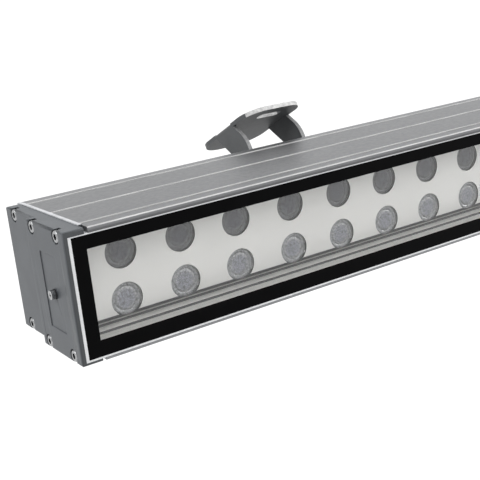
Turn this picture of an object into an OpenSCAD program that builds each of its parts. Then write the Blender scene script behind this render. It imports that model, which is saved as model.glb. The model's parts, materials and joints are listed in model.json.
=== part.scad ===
// Linear LED floodlight: extruded housing, cast end caps, glass front and two brackets that
// slide along the back rail and tilt. All lengths are in millimetres.
// The origin is the centre of the housing's underside. X runs along the lamp, the light
// leaves towards -Y and Z is up.

/* [Housing] */
// Length over both end caps
lamp_len = 1000; // [800:1:1200]
// Depth from the front lips to the back face
body_d = 96; // [92:1:110]
// Height of the housing
body_h = 76; // [74:1:84]
// Outer wall of the extrusion
wall_t = 3; // [2.4:0.1:3.6]
// Thickness of the wall that carries the LED boards
partition_t = 5; // [3.6:0.1:6]
// Front lips to the middle of that wall
partition_depth = 43.2; // [42:0.1:48]
// Lip above the glass
lip_top_t = 3.3; // [2.6:0.1:4]
// Lip below the glass
lip_low_t = 1.6; // [1.2:0.1:2.4]
// Depth of the sloping strip along the top back edge
shoulder_run = 11; // [6:0.5:12]
// Drop of that strip at the back face
shoulder_drop = 0.7; // [0.4:0.1:2]
// Depth of the ribs and the rail that stand behind the back wall and the end caps
rib_d = 4; // [2:0.5:6]
// Width of the fine grooves in the top face
line_w = 2.8; // [1:0.1:3.4]
// Depth of the fine grooves
line_d = 0.8; // [0.3:0.1:1.2]
// Front lips to the first groove
line_front = 10.8; // [8:0.1:20]
// Front lips to the second groove
line_mid = 48.9; // [40:0.1:60]

/* [Rail in the back face] */
// Height of the rail's middle above the underside
rail_z = 30; // [28:0.5:32]
// Mouth of the rail
rail_mouth_w = 8.4; // [7.6:0.1:9]
// Width of the rail behind its lips
rail_w = 14; // [13:0.1:16]
// Depth of the rail behind its lips
rail_d = 6.5; // [5.6:0.1:7.5]
// Lips and walls of the rail
rail_lip_t = 2.5; // [2:0.1:3]

/* [End caps] */
// Thickness of a cap at its front block
cap_t = 12.4; // [12:0.1:16]
// How far the rear block sits back from the front block
cap_step = 4.5; // [2:0.1:5]
// Front lips to the step between the blocks
cap_step_depth = 51.7; // [50:0.1:56]
// Rim of the cap beside the glass
cap_rim = 2.6; // [2:0.1:3.5]
// Outer wall of the cap over its pockets
cap_wall = 3.5; // [3:0.1:4.5]
// Round on the outer edges of a cap
cap_edge_r = 1.2; // [0.6:0.1:1.6]
// Round on the rear corners of each block
cap_corner_r = 3.5; // [2:0.1:4]
// Thickness of the silicone gasket behind a cap
gasket_t = 2.2; // [0.8:0.1:2.4]
// How far the gasket stands out of the joint
gasket_proud = 0.6; // [0.2:0.1:1]
// Depth of the plain panel sunk in the front block
panel_d = 0.4; // [0.2:0.1:0.8]

/* [Cap screws] */
// Radius of the screw shank
cap_screw_r = 2; // [1.5:0.1:2.2]
// Radius of the screw head
cap_head_r = 3.5; // [3:0.1:3.7]
// Height of the screw head
cap_head_h = 4; // [3.5:0.1:4.5]
// Depth of the counterbore
cap_bore_d = 4; // [3:0.1:4.4]
// Space round a screw's head in its counterbore
cap_bore_room = 0.7; // [0.3:0.1:1]
// Screw middle to the top or bottom of the housing
port_inset = 3.9; // [3.8:0.1:4.6]
// Front lips to the front screws
port_front = 10.3; // [10:0.1:14]
// Rear face of the cap to the rear screws
port_back = 12.1; // [10:0.1:14]
// Radius of the bosses that the screws run into
port_r = 4; // [3.6:0.1:4.1]

/* [Glass] */
// Thickness of the glass
glass_t = 4; // [3:0.1:5]
// Glass face behind the front lips
glass_recess = 1.2; // [0.5:0.1:1.6]
// Seal between the glass and the end caps
seal_end_t = 1.9; // [1:0.1:2.4]
// Seal above and below the glass
seal_edge_t = 0.8; // [0.4:0.1:1.2]
// Seal under the glass
seal_bed_t = 0.8; // [0.4:0.1:1.2]
// Width of the seal's bed under the glass
seal_bed_w = 4; // [3:0.1:5]
// Black border at the ends
print_side = 8.6; // [7:0.1:14]
// Black border at the top
print_top = 8; // [7:0.1:10]
// Black border at the bottom
print_low = 9.4; // [8:0.1:11]
// Thickness of the black border
print_t = 0.15; // [0.1:0.05:0.3]

/* [Lenses] */
// Columns of lenses
columns = 24; // [18:6:30]
// Columns on a full LED board
board_columns = 6;
// Lamp end to the first lens
end_margin = 42.15; // [40:0.05:48]
// Extra space between neighbouring boards
board_gap = 1.8; // [1:0.1:3]
// Distance between the two rows
row_gap = 28.5; // [25:0.1:30]
// Radius of a lens
lens_r = 9.8; // [8:0.1:10.5]
// Radius of the lens face inside its flange
lens_core_r = 7.9; // [6.6:0.1:8]
// Thickness of the lens flange
lens_flange_t = 1.6; // [1:0.1:2]
// How far the face stands in front of the flange
lens_face_step = 0.4; // [0.2:0.1:0.8]
// Radius of the lens at its back
lens_back_r = 4.4; // [3.6:0.1:5]
// Lens back above the LED board
lens_lift = 2.6; // [2.4:0.1:3.4]
// Wall of a lens holder
holder_t = 1.1; // [0.8:0.1:1.4]

/* [Reflector and boards] */
// Front lips to the reflector plate
plate_depth = 23.2; // [21:0.1:25]
// Thickness of the reflector plate
plate_t = 1; // [0.6:0.1:1.5]
// Gap between the plate and the lens faces
lens_gap = 0.3; // [0.2:0.1:1]
// Clearance round a lens in the plate
lens_hole_clear = 0.25; // [0.15:0.05:0.5]
// Plate's lower edge below the lower lens centres
plate_low_reach = 7.8; // [6:0.1:9]
// Plate's upper edge above the upper lens centres
plate_top_reach = 14; // [12:0.1:15]
// Depth of the turned-back upper edge
plate_fold = 6; // [4:0.1:8]
// Thickness of an LED board
board_t = 1.6; // [1:0.1:2]
// Height of an LED board
board_h = 50; // [48:0.1:52]
// Radius of the posts that hold the plate
post_r = 2.4; // [2:0.1:2.5]

/* [Driver] */
// Length of the driver board
driver_len = 360; // [300:1:420]
// Height of the driver board
driver_h = 44; // [40:1:48]
// Height of the spacers under the driver board
driver_gap = 6; // [4:0.1:8]

/* [Brackets] */
// Distance between the two brackets
bracket_span = 566; // [500:1:640]
// Width over the two arms of a bracket
bracket_w = 50.5; // [46:0.5:60]
// Sheet thickness of a bracket
bracket_t = 3; // [2.4:0.1:3.5]
// Pivot behind the back face
pivot_back = 18; // [17.8:0.1:22]
// Pivot above the underside
pivot_z = 48.1; // [46:0.1:52]
// Pivot to the outer face of the bracket's plate
plate_rise = 43.3; // [42:0.1:50]
// Plate in front of the pivot
plate_front = 33.5; // [28:0.5:36]
// Plate behind the pivot
plate_rear = 52; // [46:0.5:58]
// Slope of the plate, down towards the back
plate_tilt = 25.5; // [15:0.5:30]
// Straight rise of an arm from the pivot to its bend
arm_rise = 16; // [14:0.5:18]
// Radius of the arm's bend along its middle
arm_bend_r = 12; // [11.5:0.5:16]
// Angle through which the arm bends backwards
arm_turn = 63; // [58:1:68]
// Width of an arm
arm_w = 21; // [18:0.5:22]
// Length of the slot in the plate
slot_len = 20; // [16:0.5:28]
// Width of the slot
slot_w = 8.5; // [7:0.1:9]
// Slot middle behind the plate's front edge
slot_inset = 13.8; // [12:0.1:16]

/* [Bracket feet] */
// Width of a foot
foot_w = 40; // [36:0.5:42]
// Thickness of a foot's base
foot_t = 6; // [5:0.1:7]
// Radius of the barrel round the pivot bolt
barrel_r = 9; // [8:0.1:10]
// Radius of the pivot bolt
pivot_r = 4; // [3:0.1:4.5]
// Distance between a foot's two screws
foot_screw_span = 24; // [20:0.5:26]
// Radius of the foot screws
foot_screw_r = 3; // [2.5:0.1:3.2]

/* [Cable gland] */
// Radius of the gland's thread
gland_r = 8; // [7:0.1:9]
// Radius of the cable that the seal grips
cable_r = 3.5; // [2.5:0.1:4]

/* [Hidden] */
$fn = 40;

// Clearances: a cut's overrun, a fixed fit, a moving fit and a free hole
over = 1;
fit = 0.05;
slide = 0.1;
loose = 0.2;

// Where the front, back and shoulder of the housing lie
front_y = -body_d / 2;
back_y = body_d / 2;
wall_y = back_y - rib_d;
shoulder_y = back_y - shoulder_run;
body_edge_r = 2.2;
lip_edge_r = 0.8;

// Extrusion between the two end caps and gaskets
tube_len = lamp_len - 2 * (cap_t + gasket_t);
partition_y = front_y + partition_depth;
partition_front = partition_y - partition_t / 2;
partition_back = partition_y + partition_t / 2;
port_ys = [front_y + port_front, partition_y, wall_y - port_back];
port_zs = [port_inset, body_h - port_inset];
port_bore_r = cap_screw_r + fit;
bar_spare = 1;
bar_h = port_inset + port_r + bar_spare;
deck_z = 5.6;
deck_step = 1;
deck_step_depth = 27.4;
deck_rib_depth = 35.8;
deck_groove_w = 1.4;
deck_groove_d = 2;
rail_depth = rail_lip_t + rail_d;
rail_front_y = back_y - rail_depth - rail_lip_t;
rail_half = rail_w / 2 + rail_lip_t;

// Glass in its recess
glass_y = front_y + glass_recess;
ledge_y = glass_y + glass_t + seal_bed_t;
glass_low_z = lip_low_t + seal_edge_t;
glass_h = body_h - lip_top_t - seal_edge_t - glass_low_z;
glass_len = lamp_len - 2 * (cap_rim + seal_end_t);
ledge_spare = 0.5;
ledge_w = seal_bed_w + ledge_spare;

// Lens grid
board_count = ceil((columns + board_columns / 2) / board_columns);
lens_pitch = (lamp_len - 2 * end_margin - (board_count - 1) * board_gap) / (columns - 1);
row_mid_z = glass_low_z + glass_h / 2;
row_zs = [row_mid_z - row_gap / 2, row_mid_z + row_gap / 2];
function board_of(i) = floor((i + board_columns / 2) / board_columns);
function column_x(i) = end_margin - lamp_len / 2 + i * lens_pitch + board_of(i) * board_gap;
function first_column(b) = max(0, b * board_columns - board_columns / 2);
function last_column(b) = min(columns, (b + 1) * board_columns - board_columns / 2) - 1;
function board_x0(b) = column_x(first_column(b)) - lens_pitch / 2;
function board_x1(b) = column_x(last_column(b)) + lens_pitch / 2;
function board_mid(b) = (board_x0(b) + board_x1(b)) / 2;

// From the reflector plate back to the partition
plate_y = front_y + plate_depth;
plate_back = plate_y + plate_t;
plate_low_z = row_zs[0] - plate_low_reach;
plate_top_z = row_zs[1] + plate_top_reach;
plate_end_gap = 1.5;
lens_front = plate_back + lens_gap;
board_front = partition_front - board_t;
lens_h = board_front - lens_lift - lens_front;
holder_h = board_front - lens_front;
lens_flange_back = lens_face_step + lens_flange_t;
lens_cone_r = lens_core_r + lens_face_step;
dome_r = 1.5;
led_w = 3.5;
led_base_t = 0.8;
dome_room = 0.7;
holder_base_r = lens_back_r + loose + 2 * holder_t;

// Small screws of the boards and the driver
small_screw_r = 1.5;
small_head_r = 2.7;
small_head_h = 2;
small_screw_len = 5;
board_screw_rise = 20.5;
post_screw_bite = 6;
post_hole_d = 7;

// Link connectors across the joints of the boards
link_w = 9;
link_t = 2.4;
link_h = 6;
feed_r = 0.8;
feed_room = 0.8;
feed_step = 5;
feed_tail = 0.5;

// Driver board and its parts
driver_y = partition_back + driver_gap;
driver_t = 1.6;
driver_back = driver_y + driver_t;
driver_z = body_h / 2;
driver_edge = 8;
driver_spacer_r = 3;
driver_spacer_count = 3;
spacer_floor = 1;
transformer_w = 34;
transformer_h = 30;
transformer_d = 22;
transformer_x_share = -0.12;
bobbin_share = 0.7;
capacitor_r = 7;
capacitor_len = 22;
capacitor_count = 3;
capacitor_step = 18;
capacitor_x_share = 0.12;
choke_r = 12;
choke_core_r = 4;
choke_x_share = -0.32;
terminal_w = 26;
terminal_d = 11;
terminal_h = 13;
terminal_ways = 3;
terminal_hole_r = 1.6;
terminal_x_share = 0.42;

// Earth screw in the left end cap
earth_depth = 23.5;
earth_r = 1.5;
earth_len = 6;
earth_head_r = 2.7;
earth_head_h = 2.2;
earth_washer_r = 3;
earth_washer_t = 0.6;
earth_boss_r = 4.2;
earth_boss_end = 8;
earth_hole_d = 6.5;
earth_cross_w = 0.6;
earth_cross_len = 2.4;
earth_cross_d = 1.2;

// Plain sunk panel in the end caps
panel_front = 14.7;
panel_w = 21;
panel_low = 15.5;
panel_h = 44.5;

// Gland parts, from the outside in
gland_y = (front_y + cap_step_depth + wall_y) / 2;
gland_hex_r = 12;
gland_hex_t = 5;
gland_washer_r = 11;
gland_washer_t = 1.2;
gland_nut_len = 12;
gland_nut_r = 10;
gland_neck_len = 7;
gland_neck_r = 7.6;
gland_lock_t = 3.5;
gland_tail = 1;
gland_seal_r = 6;
gland_seal_len = 9;

// Bracket and its pivot
pivot_y = back_y + pivot_back;
bracket_corner_r = 16;
bracket_nose_r = 22;
bend_r = 2;
boss_r = arm_w / 2;
arm_inner = bracket_w / 2 - bracket_t;
plate_under = plate_rise - bracket_t;

// Bend of the arms, and where they meet the plate when that is seen level
function level(p) = [p[0] * cos(plate_tilt) - p[1] * sin(plate_tilt),
                     p[0] * sin(plate_tilt) + p[1] * cos(plate_tilt)];
arm_outer_r = arm_bend_r + arm_w / 2;
arm_inner_r = arm_bend_r - arm_w / 2;
arm_outer_steps = 24;
arm_inner_steps = 6;
arm_slope = 90 - arm_turn + plate_tilt;
arm_end = level([arm_bend_r * (1 - cos(arm_turn)), arm_rise + arm_bend_r * sin(arm_turn)]);
arm_reach = arm_w / (2 * sin(arm_slope));
arm_root_front = arm_end[0] + (plate_rise - arm_end[1]) / tan(arm_slope) - arm_reach;
arm_root_back = arm_end[0] + (plate_under - arm_end[1]) / tan(arm_slope) + arm_reach;

// Pivot bolt
bolt_head_r = 7.5;
bolt_head_h = 5.3;
bolt_tail = 2;
washer_t = 1.6;
washer_r = 8;
nut_h = 6.5;

// Foot, its screws and the nuts in the rail
foot_low_z = rail_z - 13;
foot_top_z = pivot_z + barrel_r;
barrel_len = 2 * (arm_inner - loose);
rail_nut_w = 13;
rail_nut_t = 4.5;
rail_nut_h = rail_w - 4 * slide;
foot_head_r = 5;
foot_head_h = 6;
foot_socket_r = 2.9;
socket_depth_share = 0.55;
cap_socket_r = 1.75;
foot_screw_len = foot_t + slide + rail_lip_t + rail_nut_t;

// Colours
alu = "#98999c";
cast = "#6f757a";
steel = "#c9cacb";
white = "#eceef0";
black = "#141416";
mirror_alu = "#c4c5c4";
paint = "#63676a";
green = "#3f7a52";

// Shapes used by several pieces
module along_x(len) {
    rotate([90, 0, 90]) linear_extrude(len, center = true) children();
}

module rod_x(r, len) {
    rotate([0, 90, 0]) cylinder(r = r, h = len);
}

module rod_y(r, len) {
    rotate([-90, 0, 0]) cylinder(r = r, h = len);
}

// The part of a square corner that lies outside a round of radius r
module corner_waste(r) {
    difference() {
        square(r);
        translate([r, r]) circle(r);
    }
}

// Rectangle with its own round at each corner: low left, low right, top right, top left
module rounded_panel(size, radii) {
    difference() {
        square(size);
        if (radii[0] > 0) corner_waste(radii[0]);
        if (radii[1] > 0) translate([size[0], 0]) mirror([1, 0]) corner_waste(radii[1]);
        if (radii[2] > 0) translate(size) rotate(180) corner_waste(radii[2]);
        if (radii[3] > 0) translate([0, size[1]]) mirror([0, 1]) corner_waste(radii[3]);
    }
}

// Side view of the housing as (y, z), grown outwards by m on every side
module body_outline(m = 0, front_r = lip_edge_r, back_r = body_edge_r) {
    intersection() {
        translate([front_y - m, -m])
            rounded_panel([body_d + 2 * m, body_h + 2 * m],
                          [front_r, back_r, back_r, front_r]);
        polygon([
            [front_y - m, -m],
            [back_y + m, -m],
            [back_y + m, body_h - shoulder_drop + m],
            [shoulder_y, body_h + m],
            [front_y - m, body_h + m]
        ]);
    }
}

// Socket-head screw that points along +x, its head's underside at the origin
module socket_screw(r, len, head_r, head_h, socket_r) {
    difference() {
        union() {
            rod_x(r, len);
            translate([-head_h, 0, 0]) rod_x(head_r, head_h);
        }
        translate([-head_h - over, 0, 0])
            rotate([0, 90, 0])
                cylinder(r = socket_r, h = over + head_h * socket_depth_share, $fn = 6);
    }
}

// Pan-head screw that points along -y, its head's underside at the origin
module pan_screw(len) {
    rotate([90, 0, 0]) cylinder(r = small_screw_r, h = len);
    rod_y(small_head_r, small_head_h);
}

module at_ports() {
    for (y = port_ys, z = port_zs) translate([0, y, z]) children();
}

module at_columns(z) {
    for (i = [0 : columns - 1]) translate([column_x(i), 0, z]) children();
}

// The places of a board's screws, between its two outer pairs of columns
module at_board_screws(b) {
    for (x = [column_x(first_column(b)) + lens_pitch / 2,
              column_x(last_column(b)) - lens_pitch / 2],
         s = [-1, 1])
        translate([x, 0, row_mid_z + s * board_screw_rise]) children();
}

module at_all_board_screws() {
    for (b = [0 : board_count - 1]) at_board_screws(b) children();
}

module at_posts() {
    for (b = [0 : board_count - 1]) translate([board_mid(b), 0, row_mid_z]) children();
}

module at_feed_leads() {
    for (s = [-1, 1])
        translate([board_mid(floor(board_count / 2)) + lens_pitch / 2 + s * feed_step / 2, 0,
                   row_mid_z])
            children();
}

module at_driver_spacers() {
    span = driver_len - 2 * driver_edge;
    for (i = [0 : driver_spacer_count - 1], s = [-1, 1])
        translate([-span / 2 + i * span / (driver_spacer_count - 1), 0,
                   driver_z + s * (driver_h / 2 - driver_edge / 2)])
            children();
}

// Housing

module rail_profile() {
    translate([back_y - rail_depth, rail_z - rail_w / 2]) square([rail_d, rail_w]);
    translate([back_y - rail_depth, rail_z - rail_mouth_w / 2])
        square([rail_depth + over, rail_mouth_w]);
}

module rail_walls() {
    translate([rail_front_y, rail_z - rail_half])
        square([back_y - rail_front_y, 2 * rail_half]);
}

// Floor of the LED chamber: three decks, each a step above the one in front, with a groove
// before each step
module chamber_floor() {
    starts = [ledge_y, front_y + deck_step_depth, front_y + deck_rib_depth];
    difference() {
        for (i = [0 : 2])
            translate([starts[i], 0])
                square([partition_front - starts[i], deck_z + i * deck_step]);
        for (i = [1, 2])
            translate([starts[i] - deck_groove_w, deck_z + i * deck_step - deck_groove_d])
                square([deck_groove_w, deck_groove_d + over]);
    }
}

module chamber_outline() {
    side = lip_low_t + seal_edge_t + ledge_w;
    top = body_h - lip_top_t - seal_edge_t - ledge_w;
    translate([front_y - over, lip_low_t])
        square([ledge_y - front_y + over, body_h - lip_low_t - lip_top_t]);
    translate([ledge_y - over, side]) square([port_r + over, top - side]);
    translate([ledge_y + wall_t, wall_t])
        square([partition_front - ledge_y - wall_t, body_h - 2 * wall_t]);
}

module driver_outline() {
    translate([partition_back, wall_t])
        square([wall_y - wall_t - partition_back, body_h - 2 * wall_t]);
}

// Channels in the back face, between the rail and the ribs along the upper and lower edges
module back_channels() {
    for (z = [[wall_t, rail_z - rail_half], [rail_z + rail_half, body_h - wall_t]])
        translate([wall_y, z[0]]) square([rib_d + over, z[1] - z[0]]);
}

module top_lines() {
    for (y = [front_y + line_front, front_y + line_mid])
        translate([y - line_w / 2, body_h - line_d]) square([line_w, line_d + over]);
    translate([shoulder_y - line_w, body_h - line_d]) square([line_w, line_d + over]);
}

module housing_profile() {
    difference() {
        union() {
            difference() {
                body_outline();
                chamber_outline();
                driver_outline();
                back_channels();
            }
            intersection() {
                body_outline();
                union() {
                    rail_walls();
                    chamber_floor();
                    for (y = port_ys, z = port_zs) translate([y, z]) circle(port_r);
                }
            }
        }
        rail_profile();
        top_lines();
        for (y = port_ys, z = port_zs) translate([y, z]) circle(port_bore_r);
        translate([front_y - over, lip_low_t])
            square([ledge_y - front_y + over, body_h - lip_low_t - lip_top_t]);
    }
}

module housing_extrusion() {
    color(alu)
        difference() {
            along_x(tube_len) housing_profile();
            translate([0, partition_front - over, 0]) {
                at_all_board_screws() rod_y(small_screw_r + fit, partition_t + 2 * over);
                at_posts() rod_y(small_screw_r + loose, partition_t + 2 * over);
                at_feed_leads() rod_y(feed_r + feed_room, partition_t + 2 * over);
            }
        }
}

// End caps

// One block of a cap, from u0 inwards, with rounds on its outer edges
module cap_block(u0, y1) {
    intersection() {
        translate([(u0 + cap_t) / 2, 0, 0])
            along_x(cap_t - u0)
                intersection() {
                    body_outline(0, cap_edge_r, cap_corner_r);
                    translate([front_y, 0])
                        rounded_panel([y1 - front_y, body_h], [0, cap_corner_r, cap_corner_r, 0]);
                }
        translate([u0, front_y, 0])
            linear_extrude(body_h)
                rounded_panel([cap_t - u0, y1 - front_y], [cap_edge_r, 0, 0, cap_edge_r]);
        translate([u0, y1, 0])
            rotate([90, 0, 0])
                linear_extrude(y1 - front_y)
                    rounded_panel([cap_t - u0, body_h], [cap_edge_r, 0, 0, cap_edge_r]);
    }
}

// Left cap with its outer face at x = 0 and its joint face at x = cap_t
module cap_body() {
    step_y = front_y + cap_step_depth;
    ledge_end = cap_rim + seal_end_t + ledge_w;
    difference() {
        union() {
            cap_block(0, step_y);
            cap_block(cap_step, wall_y);
        }
        translate([cap_rim, front_y - over, lip_low_t])
            cube([cap_t, ledge_y - front_y + over, body_h - lip_low_t - lip_top_t]);
        translate([ledge_end, ledge_y - over, bar_h])
            cube([cap_t, partition_front - ledge_y + over, body_h - 2 * bar_h]);
        translate([cap_wall, ledge_y + wall_t, bar_h])
            cube([cap_t, partition_front - ledge_y - wall_t, body_h - 2 * bar_h]);
        translate([cap_step + cap_wall, partition_back, bar_h])
            cube([cap_t, wall_y - wall_t - partition_back, body_h - 2 * bar_h]);
        translate([-over, front_y + panel_front, panel_low])
            cube([over + panel_d, panel_w, panel_h]);
        at_ports() translate([-over, 0, 0]) rod_x(cap_screw_r + loose, cap_t + 2 * over);
        for (z = port_zs) {
            for (i = [0, 1])
                translate([-over, port_ys[i], z])
                    rod_x(cap_head_r + cap_bore_room, over + cap_bore_d);
            translate([-over, port_ys[2], z])
                rod_x(cap_head_r + cap_bore_room, over + cap_step + cap_bore_d);
        }
    }
}

module end_cap_left() {
    color(cast)
        translate([-lamp_len / 2, 0, 0])
            difference() {
                union() {
                    cap_body();
                    translate([cap_wall - fit, front_y + earth_depth, row_mid_z])
                        rod_x(earth_boss_r, earth_boss_end + fit - cap_wall);
                }
                translate([-over, front_y + earth_depth, row_mid_z])
                    rod_x(earth_r + fit, over + earth_hole_d);
            }
}

module end_cap_right() {
    color(cast)
        mirror([1, 0, 0])
            translate([-lamp_len / 2, 0, 0])
                difference() {
                    cap_body();
                    translate([-over, gland_y, body_h / 2]) rod_x(gland_r + slide, cap_t);
                }
}

module end_gasket() {
    color(white)
        translate([cap_t + gasket_t / 2 - lamp_len / 2, 0, 0])
            along_x(gasket_t)
                difference() {
                    intersection() {
                        body_outline(gasket_proud);
                        translate([ledge_y, 0])
                            square([wall_y + gasket_proud - ledge_y, body_h + over]);
                    }
                    translate([ledge_y - over, bar_h])
                        square([partition_front - ledge_y + over, body_h - 2 * bar_h]);
                    translate([partition_back, bar_h])
                        square([rail_front_y - partition_back, body_h - 2 * bar_h]);
                    for (y = port_ys, z = port_zs)
                        translate([y, z]) circle(cap_screw_r + 2 * loose);
                }
}

module end_gasket_left() {
    end_gasket();
}

module end_gasket_right() {
    mirror([1, 0, 0]) end_gasket();
}

// The six screws of a cap; the rear pair starts lower, on the rear block
module cap_screws() {
    len = cap_t - cap_bore_d + gasket_t + 3 * cap_screw_r;
    color(steel)
        translate([-lamp_len / 2, 0, 0])
            for (z = port_zs) {
                for (i = [0, 1])
                    translate([cap_bore_d, port_ys[i], z])
                        socket_screw(cap_screw_r, len, cap_head_r, cap_head_h, cap_socket_r);
                translate([cap_step + cap_bore_d, port_ys[2], z])
                    socket_screw(cap_screw_r, len - cap_step, cap_head_r, cap_head_h,
                                 cap_socket_r);
            }
}

module cap_screws_left() {
    cap_screws();
}

module cap_screws_right() {
    mirror([1, 0, 0]) cap_screws();
}

// Glass, its black border and its seal

module front_glass() {
    color("#cfe3df", 0.35)
        translate([-glass_len / 2, glass_y, glass_low_z]) cube([glass_len, glass_t, glass_h]);
}

module glass_border() {
    color(black)
        translate([0, glass_y, glass_low_z])
            rotate([90, 0, 0])
                linear_extrude(print_t)
                    difference() {
                        translate([-glass_len / 2, 0]) square([glass_len, glass_h]);
                        translate([print_side - glass_len / 2, print_low])
                            square([glass_len - 2 * print_side, glass_h - print_low - print_top]);
                    }
}

// Silicone frame: a rim round the glass edge and a bed under it
module glass_seal() {
    color(white)
        difference() {
            translate([-glass_len / 2 - seal_end_t, glass_y, lip_low_t])
                cube([glass_len + 2 * seal_end_t, glass_t + seal_bed_t,
                      glass_h + 2 * seal_edge_t]);
            translate([-glass_len / 2, glass_y - over, glass_low_z])
                cube([glass_len, glass_t + over, glass_h]);
            translate([seal_bed_w - glass_len / 2, glass_y, glass_low_z + seal_bed_w])
                cube([glass_len - 2 * seal_bed_w, glass_t + seal_bed_t + over,
                      glass_h - 2 * seal_bed_w]);
        }
}

// Reflector plate and what holds it

module reflector_plate() {
    len = tube_len - 2 * plate_end_gap;
    color(mirror_alu) {
        difference() {
            translate([-len / 2, plate_y, plate_low_z])
                cube([len, plate_t, plate_top_z - plate_low_z]);
            for (z = row_zs)
                at_columns(z)
                    translate([0, plate_y - over, 0])
                        rod_y(lens_r + lens_hole_clear, plate_t + 2 * over);
        }
        translate([-len / 2, plate_y, plate_top_z])
            cube([len, plate_t + plate_fold, plate_t]);
    }
}

module reflector_posts() {
    color(steel)
        at_posts()
            translate([0, plate_back, 0])
                difference() {
                    rod_y(post_r, partition_front - plate_back);
                    translate([0, partition_front - plate_back - post_hole_d, 0])
                        rod_y(small_screw_r + fit, post_hole_d + over);
                }
}

module post_screws() {
    color(steel)
        at_posts()
            translate([0, partition_back, 0]) pan_screw(partition_t + post_screw_bite);
}

// LED boards and what is on them

module led_board(b) {
    color(white)
        difference() {
            translate([board_x0(b), board_front, row_mid_z - board_h / 2])
                cube([board_x1(b) - board_x0(b), board_t, board_h]);
            translate([0, board_front - over, 0]) {
                at_board_screws(b) rod_y(small_screw_r + loose, board_t + 2 * over);
                translate([board_mid(b), 0, row_mid_z])
                    rod_y(post_r + loose, board_t + 2 * over);
                at_feed_leads() rod_y(feed_r + loose, board_t + 2 * over);
            }
        }
}

module led_board_1() {
    led_board(0);
}

module led_board_2() {
    led_board(1);
}

module led_board_3() {
    led_board(2);
}

module led_board_4() {
    led_board(3);
}

module led_board_5() {
    led_board(4);
}

// Plug connectors that carry the current over each joint between boards
module board_links() {
    color(white)
        for (b = [1 : board_count - 1])
            translate([board_x0(b) - board_gap / 2 - link_w / 2, board_front - link_t,
                       row_mid_z - link_h / 2])
                cube([link_w, link_t, link_h]);
}

module board_screws() {
    color(steel)
        at_all_board_screws()
            translate([0, board_front, 0])
                rotate([0, 0, 180]) pan_screw(small_screw_len);
}

module led_emitters() {
    color("#e8d979")
        for (z = row_zs)
            at_columns(z) {
                translate([-led_w / 2, board_front - led_base_t, -led_w / 2])
                    cube([led_w, led_base_t, led_w]);
                translate([0, board_front - led_base_t, 0])
                    intersection() {
                        sphere(dome_r);
                        translate([-led_w / 2, -led_w, -led_w / 2]) cube(led_w);
                    }
            }
}

// One lens, its face at y = 0 and its back at y = lens_h
module lens() {
    rotate([-90, 0, 0])
        rotate_extrude()
            polygon([
                [0, 0],
                [lens_core_r, 0],
                [lens_core_r, lens_face_step],
                [lens_r, lens_face_step],
                [lens_r, lens_flange_back],
                [lens_cone_r, lens_flange_back],
                [lens_back_r, lens_h],
                [dome_r + dome_room, lens_h],
                [dome_r + dome_room, lens_h - dome_r - dome_room],
                [0, lens_h - dome_r - dome_room]
            ]);
}

// One holder: a cup that stands on the board and carries the lens by its flange
module lens_holder() {
    rotate([-90, 0, 0])
        rotate_extrude()
            polygon([
                [lens_cone_r + loose, lens_flange_back],
                [lens_r, lens_flange_back],
                [lens_r, lens_flange_back + holder_t],
                [holder_base_r, lens_h],
                [holder_base_r, holder_h],
                [lens_back_r + loose, holder_h],
                [lens_back_r + loose, lens_h]
            ]);
}

module lenses_top() {
    color("#b9babb") at_columns(row_zs[1]) translate([0, lens_front, 0]) lens();
}

module lenses_bottom() {
    color("#b9babb") at_columns(row_zs[0]) translate([0, lens_front, 0]) lens();
}

module lens_holders_top() {
    color(white) at_columns(row_zs[1]) translate([0, lens_front, 0]) lens_holder();
}

module lens_holders_bottom() {
    color(white) at_columns(row_zs[0]) translate([0, lens_front, 0]) lens_holder();
}

// Leads from the driver board to the middle LED board
module led_feed_leads() {
    color("#b03a2e")
        at_feed_leads()
            translate([0, board_front - feed_tail, 0])
                rod_y(feed_r, driver_y - board_front + feed_tail);
}

// Driver

module driver_board() {
    color(green)
        difference() {
            translate([-driver_len / 2, driver_y, driver_z - driver_h / 2])
                cube([driver_len, driver_t, driver_h]);
            translate([0, driver_y - over, 0])
                at_driver_spacers() rod_y(small_screw_r + loose, driver_t + 2 * over);
        }
}

module driver_spacers() {
    color(steel)
        translate([0, partition_back, 0])
            at_driver_spacers()
                difference() {
                    rod_y(driver_spacer_r, driver_gap);
                    translate([0, spacer_floor, 0]) rod_y(small_screw_r + fit, driver_gap);
                }
}

module driver_screws() {
    color(steel)
        translate([0, driver_back, 0])
            at_driver_spacers() pan_screw(driver_t + driver_gap - 2 * spacer_floor);
}

module driver_transformer() {
    color("#3a3a3c")
        translate([driver_len * transformer_x_share, driver_back, driver_z]) {
            translate([-transformer_w / 2, 0, -transformer_h * bobbin_share / 2])
                cube([transformer_w, transformer_d * bobbin_share,
                      transformer_h * bobbin_share]);
            translate([-transformer_w * bobbin_share / 2, 0, -transformer_h / 2])
                cube([transformer_w * bobbin_share, transformer_d, transformer_h]);
        }
}

module driver_capacitors() {
    color("#23262b")
        for (i = [0 : capacitor_count - 1])
            translate([driver_len * capacitor_x_share + i * capacitor_step, driver_back,
                       driver_z])
                rod_y(capacitor_r, capacitor_len);
}

module driver_choke() {
    color("#8a5a2b")
        translate([driver_len * choke_x_share, driver_back + choke_core_r, driver_z])
            rotate([90, 0, 0])
                rotate_extrude() translate([choke_r - choke_core_r, 0]) circle(choke_core_r);
}

module driver_terminals() {
    step = terminal_w / terminal_ways;
    color(green)
        translate([driver_len * terminal_x_share, driver_back, driver_z])
            difference() {
                translate([-terminal_w / 2, 0, -terminal_h / 2])
                    cube([terminal_w, terminal_d, terminal_h]);
                for (i = [0 : terminal_ways - 1])
                    translate([(i + 0.5) * step - terminal_w / 2, terminal_d / 2, 0])
                        cylinder(r = terminal_hole_r, h = terminal_h);
            }
}

// Earth screw on the left cap

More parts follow.
